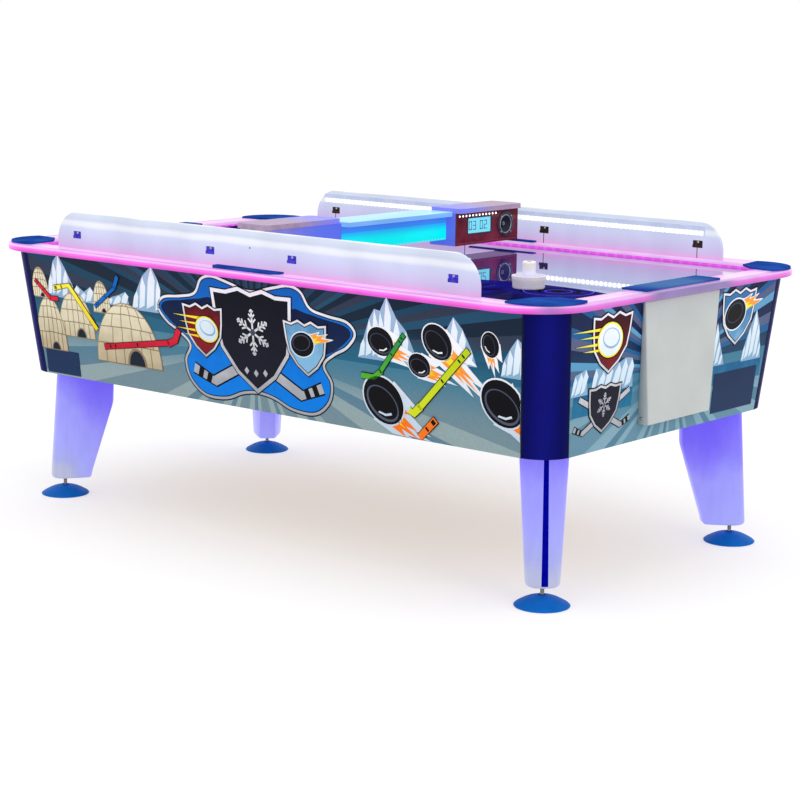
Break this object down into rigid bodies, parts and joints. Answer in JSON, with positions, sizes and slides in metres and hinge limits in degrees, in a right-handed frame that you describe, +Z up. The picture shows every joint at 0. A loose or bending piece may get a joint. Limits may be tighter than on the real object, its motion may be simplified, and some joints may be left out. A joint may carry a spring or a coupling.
{
  "type": "air hockey table",
  "caption": "Free-standing air hockey table with a tapered cabinet on blade legs, a lit rail, clear side guards, a score bridge, goals with puck boxes, mallets and a puck.",
  "frame": {"origin": "on the floor, under the table's centre", "axes": "+X along the table to its right end, -Y to the front side, +Z up"},
  "size_m": [2.133, 1.286, 0.9225],
  "materials": {
    "printed_board": "printed laminate on board, satin",
    "plywood": "raw plywood",
    "playfield": "glossy laminate with air holes",
    "navy_post": "satin navy coating",
    "rail": "lit translucent plastic",
    "blue_cap": "glossy",
    "frosted_guard": "frosted acrylic",
    "light_channel": "satin",
    "bridge_light": "lit diffuser",
    "bridge_cover": "glossy",
    "score_box": "satin",
    "score_panel": "glossy dark red",
    "lit_leg": "lit translucent plastic",
    "steel": "zinc plated",
    "blue_foot": "moulded",
    "white_cover": "white powder coat",
    "black_plastic": "moulded",
    "mallet": "moulded",
    "puck": "moulded"
  },
  "bodies": {
    "table": {"cabinet_floor": "plywood", "plenum_tray": "plywood", "playfield": "playfield", "bridge_beam": "bridge_light", "bridge_cover": "bridge_cover", "side_panel_front": "printed_board", "side_rail_front": "rail", "side_cap_front": "blue_cap", "guard_front": "frosted_guard", "guard_light_front": "light_channel", "score_box_front": "score_box", "score_panel_front": "score_panel", "side_panel_back": "printed_board", "side_rail_back": "rail", "side_cap_back": "blue_cap", "guard_back": "frosted_guard", "guard_light_back": "light_channel", "score_box_back": "score_box", "score_panel_back": "score_panel", "end_panel_right": "printed_board", "end_rail_right": "rail", "goal_cap_right": "blue_cap", "puck_box_right": "black_plastic", "end_panel_left": "printed_board", "end_rail_left": "rail", "goal_cap_left": "blue_cap", "puck_box_left": "black_plastic", "corner_post_front_right": "navy_post", "rail_corner_front_right": "rail", "corner_cap_front_right": "blue_cap", "leg_front_right": "lit_leg", "corner_post_front_left": "navy_post", "rail_corner_front_left": "rail", "corner_cap_front_left": "blue_cap", "leg_front_left": "lit_leg", "corner_post_back_right": "navy_post", "rail_corner_back_right": "rail", "corner_cap_back_right": "blue_cap", "leg_back_right": "lit_leg", "corner_post_back_left": "navy_post", "rail_corner_back_left": "rail", "corner_cap_back_left": "blue_cap", "leg_back_left": "lit_leg", "blower_housing": "black_plastic", "blower_motor": "steel", "control_unit": "light_channel"},
    "stem_front_right": {"foot_stem_front_right": "steel"},
    "pad_front_right": {"foot_pad_front_right": "blue_foot"},
    "stem_front_left": {"foot_stem_front_left": "steel"},
    "pad_front_left": {"foot_pad_front_left": "blue_foot"},
    "stem_back_right": {"foot_stem_back_right": "steel"},
    "pad_back_right": {"foot_pad_back_right": "blue_foot"},
    "stem_back_left": {"foot_stem_back_left": "steel"},
    "pad_back_left": {"foot_pad_back_left": "blue_foot"},
    "cover_right": {"puck_cover_right": "white_cover"},
    "cover_left": {"puck_cover_left": "white_cover"},
    "mallet_right": {"mallet_right": "mallet"},
    "mallet_left": {"mallet_left": "mallet"},
    "puck": {"puck": "puck"},
    "impeller": {"blower_impeller": "light_channel"}
  },
  "joints": [
    {"name": "foot_screw_front_right", "type": "slide", "parent": "table", "child": "stem_front_right", "axis": [0, 0, -1], "range_m": [-0.015, 0.02]},
    {"name": "foot_tilt_front_right", "type": "hinge", "parent": "stem_front_right", "child": "pad_front_right", "pos_m": [0.9334, -0.4572, 0.0165], "axis": [1, 0, 0], "range_deg": [-6, 6]},
    {"name": "foot_screw_front_left", "type": "slide", "parent": "table", "child": "stem_front_left", "axis": [0, 0, -1], "range_m": [-0.015, 0.02]},
    {"name": "foot_tilt_front_left", "type": "hinge", "parent": "stem_front_left", "child": "pad_front_left", "pos_m": [-0.9334, -0.4572, 0.0165], "axis": [1, 0, 0], "range_deg": [-6, 6]},
    {"name": "foot_screw_back_right", "type": "slide", "parent": "table", "child": "stem_back_right", "axis": [0, 0, -1], "range_m": [-0.015, 0.02]},
    {"name": "foot_tilt_back_right", "type": "hinge", "parent": "stem_back_right", "child": "pad_back_right", "pos_m": [0.9334, 0.4572, 0.0165], "axis": [1, 0, 0], "range_deg": [-6, 6]},
    {"name": "foot_screw_back_left", "type": "slide", "parent": "table", "child": "stem_back_left", "axis": [0, 0, -1], "range_m": [-0.015, 0.02]},
    {"name": "foot_tilt_back_left", "type": "hinge", "parent": "stem_back_left", "child": "pad_back_left", "pos_m": [-0.9334, 0.4572, 0.0165], "axis": [1, 0, 0], "range_deg": [-6, 6]},
    {"name": "cover_tilt_right", "type": "hinge", "parent": "table", "child": "cover_right", "pos_m": [1.0052, 0, 0.4445], "axis": [0, 1, 0], "range_deg": [0, 35]},
    {"name": "cover_tilt_left", "type": "hinge", "parent": "table", "child": "cover_left", "pos_m": [-1.0052, 0, 0.4445], "axis": [0, -1, 0], "range_deg": [0, 35]},
    {"name": "mallet_slide_right", "type": "slide", "parent": "table", "child": "mallet_right", "axis": [0, 1, 0], "range_m": [-0.257, 0.741]},
    {"name": "mallet_slide_left", "type": "slide", "parent": "table", "child": "mallet_left", "axis": [0, 1, 0], "range_m": [-0.257, 0.741]},
    {"name": "puck_slide", "type": "slide", "parent": "table", "child": "puck", "axis": [1, 0, 0], "range_m": [-0.7235, 1.2235]},
    {"name": "impeller_spin", "type": "hinge", "parent": "table", "child": "impeller", "pos_m": [-0.35, 0, 0.48], "axis": [0, 0, 1], "continuous": true}
  ]
}
